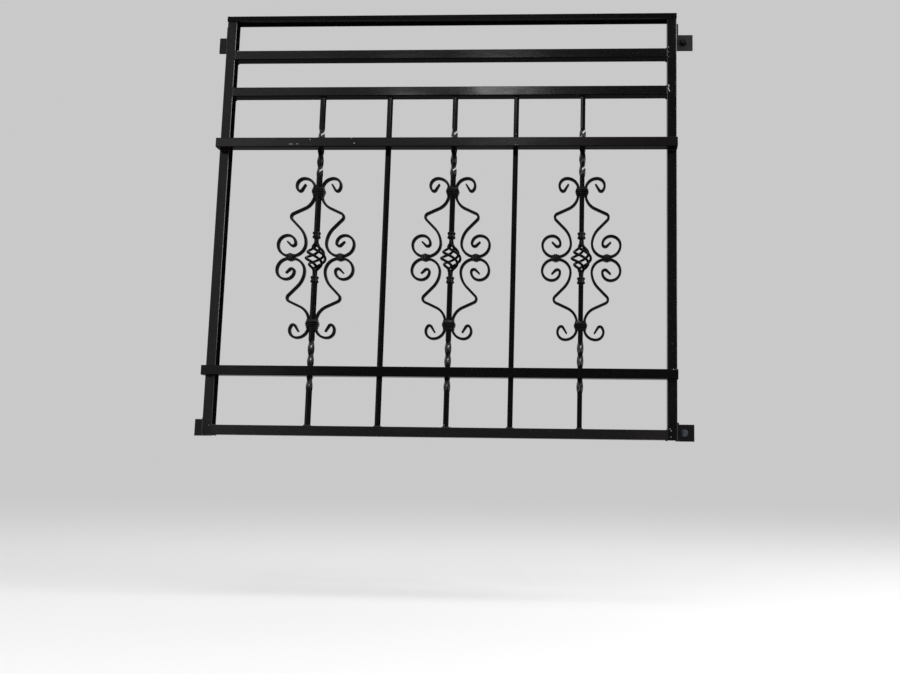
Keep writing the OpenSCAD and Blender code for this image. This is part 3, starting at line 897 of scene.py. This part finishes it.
def paint(name, black, thin, thin_from=0.55, gloss=0.24, shine=0.09, under=0.02, crest=None, flank=None,
          edge=None, painted_underlight=None, peel=0.05, lumps=0.0, grain=(1, 1, 1), dust=0.4, grit=0.68, scuffs=()):
    material = bpy.data.materials.new(name)
    material.use_nodes = True
    tree = material.node_tree
    shader = tree.nodes["Principled BSDF"]
    place = add(tree, "ShaderNodeTexCoord")
    facing = add(tree, "ShaderNodeNewGeometry")
    way = add(tree, "ShaderNodeSeparateXYZ")
    tree.links.new(facing.outputs["Normal"], way.inputs["Vector"])

    patches = share(tree, noise(tree, place, 9, 6, 0.6, grain), thin_from, thin_from + 0.16)
    colour = blend(tree, patches, black, thin)
    specks = share(tree, noise(tree, place, 420, 2), grit, grit + 0.05)
    colour = blend(tree, combine(tree, "MULTIPLY", specks, SPECKS), colour, GRIT)
    lying = share(tree, noise(tree, place, 55, 5), 0.3, 0.7, 0.35 * dust, dust)
    lying = combine(tree, "MULTIPLY", share(tree, way.outputs["Z"], 0.35, 0.95), lying)
    colour = blend(tree, lying, colour, DUST)
    # Painted light from below: what faces down is given a lighter colour.
    if painted_underlight is not None:
        colour = blend(tree, share(tree, way.outputs["Z"], -0.7, -0.95), colour, painted_underlight)
    for patch in scuffs:
        colour = blend(tree, scuff(tree, place, *patch), colour, BARE)
    tree.links.new(colour, shader.inputs["Base Color"])

    sheen = share(tree, noise(tree, place, 30, 4, 0.6, grain), 0.3, 0.7, gloss - 0.05, gloss + 0.07)
    dull = combine(tree, "ADD", sheen, combine(tree, "MULTIPLY", lying, 0.5))
    tree.links.new(dull, shader.inputs["Roughness"])
    # The mirror share is set by which way the surface faces: painted shade on undersides and tops.
    mirror = share(tree, way.outputs["Z"], -0.3, -0.12, under, shine)
    if crest is not None:
        mirror = combine(tree, "MINIMUM", mirror, share(tree, way.outputs["Z"], 0.12, 0.4, 1, crest))
    # Painted shade on what faces right, and a painted highlight on upright round corners.
    if flank is not None:
        sideways = combine(tree, "ABSOLUTE", way.outputs["X"], 0)
        mirror = combine(tree, "MINIMUM", mirror, share(tree, way.outputs["X"], 0.85, 0.97, 1, flank))
        corner = share(tree, sideways, 0.2, 0.45)
        corner = combine(tree, "MULTIPLY", corner, share(tree, sideways, 0.97, 0.85))
        mirror = combine(tree, "MAXIMUM", mirror, combine(tree, "MULTIPLY", corner, edge))
    tree.links.new(mirror, shader.inputs["Specular IOR Level"])

    skin = add(tree, "ShaderNodeBump", Strength=peel, Distance=SKIN_DEPTH)
    tree.links.new(noise(tree, place, 650, 2), skin.inputs["Height"])
    relief = add(tree, "ShaderNodeBump", Strength=0.08 + lumps, Distance=RELIEF_DEPTH)
    join_up(tree, (noise(tree, place, 75, 3, 0.5, grain), relief.inputs["Height"]),
            (skin.outputs["Normal"], relief.inputs["Normal"]),
            (relief.outputs["Normal"], shader.inputs["Normal"]))
    return material


print("a paint can be mixed")

# %% [markdown]
# Each kind of piece gets a coat of its own. Rails and bands lie along x and posts and bars stand along z, so
# the patches in their paint are drawn out that way. The cap's underside is given a lighter colour, painted
# light from below. Posts and bars get painted shade on what faces right and painted highlights at their
# corners, and cast pieces are lumpier. The upper band has lost paint in spots. A scuff is x and z in metres,
# and its length and height in millimetres.
# %% The coats
ALONG, UPWARDS = (0.25, 1, 1), (1, 1, 0.3)
BAND_SCUFFS = ((0.118, 0.7646, 1.2, 0.9), (0.189, 0.7636, 4, 0.7), (0.242, 0.7452, 5, 0.6),
               (0.2595, 0.7456, 3, 0.6), (0.2926, 0.7572, 1.4, 1.2), (0.403, 0.7616, 1.8, 0.8),
               (0.4105, 0.7474, 1.6, 1))
coats = {
    # The cap's lighter colour for what faces down is painted light from below.
    "cap": paint("cap_black", (0.0012, 0.001, 0.001, 1), (0.0028, 0.0022, 0.002, 1), shine=0.035, under=0.03,
                 crest=0.01, painted_underlight=(0.014, 0.011, 0.0105, 1), grain=ALONG),
    "rail": paint("rail_black", (0.0015, 0.0013, 0.0012, 1), (0.0042, 0.0036, 0.003, 1), gloss=0.13,
                  shine=0.09, under=0.01, crest=0.03, grain=ALONG),
    "upper_band": paint("upper_band_black", (0.0014, 0.0008, 0.001, 1), (0.0046, 0.003, 0.0032, 1), 0.5,
                        gloss=0.16, shine=0.12, under=0.015, crest=0.03, grain=ALONG, scuffs=BAND_SCUFFS),
    "lower_band": paint("lower_band_black", (0.0009, 0.0009, 0.0009, 1), (0.0024, 0.0022, 0.002, 1),
                        gloss=0.15, shine=0.06, crest=0.02, grain=ALONG),
    "bottom": paint("bottom_black", (0.0044, 0.0038, 0.0046, 1), (0.0085, 0.0068, 0.0074, 1), shine=0.11,
                    crest=0.05, grain=ALONG),
    # No mirror light on what faces right is painted shade, and the corners' mirror share is a painted
    # highlight.
    "post": paint("post_black", (0.0012, 0.0012, 0.0015, 1), (0.0036, 0.0032, 0.0032, 1), gloss=0.15,
                  shine=0.08, flank=0.0, edge=1.0, grain=UPWARDS),
    "bar": paint("bar_black", (0.001, 0.0009, 0.0008, 1), (0.0036, 0.0032, 0.0028, 1), gloss=0.16,
                 shine=0.065, flank=0.0, edge=0.02, peel=0.04, grain=UPWARDS),
    "scroll": paint("scroll_black", (0.001, 0.0009, 0.0009, 1), (0.0032, 0.0026, 0.0022, 1), gloss=0.18,
                    shine=0.08, lumps=0.06, dust=0.12),
    "cast": paint("cast_black", (0.0014, 0.0013, 0.0013, 1), (0.0045, 0.004, 0.0036, 1), 0.5, gloss=0.2,
                  shine=0.12, peel=0.15, lumps=0.2, dust=0.15),
    # The twisted bars' large corner share paints glints on their turning facets.
    "twist": paint("twist_black", (0.001, 0.0009, 0.0008, 1), (0.0036, 0.0032, 0.0028, 1), gloss=0.13,
                   shine=0.065, flank=0.0, edge=0.7, peel=0.04, grain=UPWARDS),
    "weld": paint("weld_black", (0.0025, 0.0024, 0.0024, 1), (0.01, 0.009, 0.008, 1), 0.5, gloss=0.2,
                  shine=0.22, peel=0.15, lumps=0.3),
    "bracket": paint("bracket_black", (0.0035, 0.0031, 0.0034, 1), (0.008, 0.007, 0.0068, 1), 0.5, gloss=0.3,
                     shine=0.1),
    "worn": paint("bracket_worn", (0.014, 0.0145, 0.016, 1), (0.026, 0.026, 0.026, 1), 0.5, gloss=0.42,
                  shine=0.1, lumps=0.1),
}
print(len(coats), "coats of black are mixed")

# %% [markdown]
# Two things have no paint. One bolt has been replaced by a zinc-plated one, and here and there a bead or a
# drop of weld has been ground or knocked bare. Both metals are dull and mottled, half metal and half film.
# %% Bare metal
METAL_SHARE = 0.5


def metal(name, colour, dark, rough):
    material = bpy.data.materials.new(name)
    material.use_nodes = True
    tree = material.node_tree
    shader = tree.nodes["Principled BSDF"]
    shader.inputs["Metallic"].default_value = METAL_SHARE
    place = add(tree, "ShaderNodeTexCoord")
    mottled = blend(tree, share(tree, noise(tree, place, 160, 4), 0.42, 0.66), colour, dark)
    dull = share(tree, noise(tree, place, 260, 3), 0.3, 0.7, rough - 0.08, rough + 0.12)
    join_up(tree, (mottled, shader.inputs["Base Color"]), (dull, shader.inputs["Roughness"]))
    skin = add(tree, "ShaderNodeBump", Strength=0.2, Distance=SKIN_DEPTH)
    join_up(tree, (noise(tree, place, 500, 2), skin.inputs["Height"]),
            (skin.outputs["Normal"], shader.inputs["Normal"]))
    return material


zinc = metal("zinc_plate", (0.04, 0.046, 0.062, 1), (0.014, 0.015, 0.02, 1), 0.45)
bright = metal("bare_weld", (0.4, 0.385, 0.36, 1), (0.16, 0.145, 0.13, 1), 0.4)
print("two bare metals are mixed")

# %% [markdown]
# The CAD nodes arrive in plain colours, those that a new piece stands for among them. Every one is painted,
# and a later line paints over an earlier one.
# %% Painting the pieces
nodes = frame["nodes"]


def coat(pieces, material):
    for piece in pieces:
        piece.data.materials.clear()
        piece.data.materials.append(material)


def named(*parts):
    return [nodes[name] for name in nodes if any(part in name for part in parts)]


coat(named("baluster", "_bar_", "_basket", "_scrolls", "_knuckles", "_collars"), coats["bar"])
coat(named("upper_rail", "middle_rail"), coats["rail"])
coat(named("cap_rail"), coats["cap"])
coat(named("bottom_rail"), coats["bottom"])
coat(named("upper_band"), coats["upper_band"])
coat(named("lower_band"), coats["lower_band"])
coat(named("post_"), coats["post"])
coat(named("bracket_"), coats["bracket"])
coat(named("bracket_upper_right"), coats["worn"])
coat(bar_pieces, coats["bar"])
coat([piece for piece in bar_pieces if "twisted" in piece.name], coats["twist"])
coat(scroll_pieces + basket_pieces, coats["scroll"])
coat(knuckle_pieces + collar_pieces, coats["cast"])
coat(weld_pieces, coats["weld"])
coat(bare_pieces, bright)
coat(bolt_pieces, coats["bracket"])
coat([piece for piece in bolt_pieces if "lower_right" in piece.name], zinc)
print("painted", len(nodes), "nodes and the pieces on them")

# %% [markdown]
# ## Studio
# The guard hangs over a pale matt floor in even light from all round. Only the camera and the reflections
# see the backdrop, which is given the brightness of the floor far away, so that no horizon shows.
# %% Floor
AIR, FLOOR = 0.65, 0.9
FLOOR_Z, FLOOR_SPAN = -0.45, 60

let_go()
bpy.ops.mesh.primitive_plane_add(size=1, location=(middle_x, 0, FLOOR_Z))
floor = bpy.context.object
floor.name = "studio_floor"
floor.scale = (FLOOR_SPAN, FLOOR_SPAN, 1)
floor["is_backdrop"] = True
pale = bpy.data.materials.new("studio_pale")
pale.use_nodes = True
pale_shader = pale.node_tree.nodes["Principled BSDF"]
pale_shader.inputs["Base Color"].default_value = (FLOOR, FLOOR, FLOOR, 1)
pale_shader.inputs["Roughness"].default_value = 1
pale_shader.inputs["Specular IOR Level"].default_value = 0
floor.data.materials.append(pale)
print("the floor is at", FLOOR_Z)

# %% Air and backdrop
world = bpy.data.worlds.new("studio_air")
bpy.context.scene.world = world
world.use_nodes = True
air = world.node_tree
light_air = air.nodes["Background"]
light_air.inputs["Color"].default_value = (1, 1, 1, 1)
light_air.inputs["Strength"].default_value = AIR
seen_air = add(air, "ShaderNodeBackground", Color=(FLOOR, FLOOR, FLOOR, 1), Strength=AIR)
path = add(air, "ShaderNodeLightPath")
seen = path.outputs["Is Camera Ray"]
for ray in ("Is Glossy Ray", "Is Transmission Ray"):
    seen = combine(air, "MAXIMUM", seen, path.outputs[ray])
choose = add(air, "ShaderNodeMixShader")
join_up(air, (seen, choose.inputs["Fac"]), (light_air.outputs[0], choose.inputs[1]),
        (seen_air.outputs[0], choose.inputs[2]),
        (choose.outputs[0], air.nodes["World Output"].inputs["Surface"]))
print("the air has a strength of", AIR)

# %% [markdown]
# Black gloss paint shows little but what it mirrors, so the lamps are placed by their reflections: a large
# one overhead in front, a wide dim one in front, two small ones whose reflections lie on the middle rail, a
# tall one on the right that draws the posts' corners, and a tall dim one on the left.
# %% Lamps
def soft_lamp(name, at, to, size, bright):
    """A rectangular lamp whose face has the given brightness, where 1 is white."""
    bpy.ops.object.light_add(type="AREA", location=at)
    lamp = bpy.context.object
    lamp.name = name
    lamp.data.shape = "RECTANGLE"
    lamp.data.size, lamp.data.size_y = size
    lamp.data.energy = bright * math.pi * size[0] * size[1]
    lamp.rotation_euler = (Vector(to) - Vector(at)).to_track_quat("-Z", "Y").to_euler()


heart = (middle_x, 0, 0.5)
soft_lamp("overhead", (0.9, -2.6, 4.3), heart, (2.4, 1.5), 3)
soft_lamp("front", (0.03, -3.75, 2.6), heart, (1.95, 0.8), 1.0)
soft_lamp("glint_right", (0.38, -3.7, 2.7), heart, (0.42, 0.28), 24)
soft_lamp("glint_left", (-0.31, -3.7, 2.7), heart, (0.26, 0.28), 10)
soft_lamp("right", (4.0, -1.6, 2.15), (1.0, 0, 0.9), (1.2, 2.4), 10)
soft_lamp("left", (-1.65, -3.6, 1.6), heart, (1.3, 3.0), 1.9)
bpy.context.scene.view_settings.view_transform = "Standard"
print("the studio is lit")

# %% [markdown]
# ## Sizes
# The box of the finished model is printed beside the CAD box.
# %% Print the sizes
low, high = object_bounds()
print("CAD box", [round(v, 4) for v in (*cad_low, *cad_high)])
print("visual box", [round(v, 4) for v in (*low, *high)])
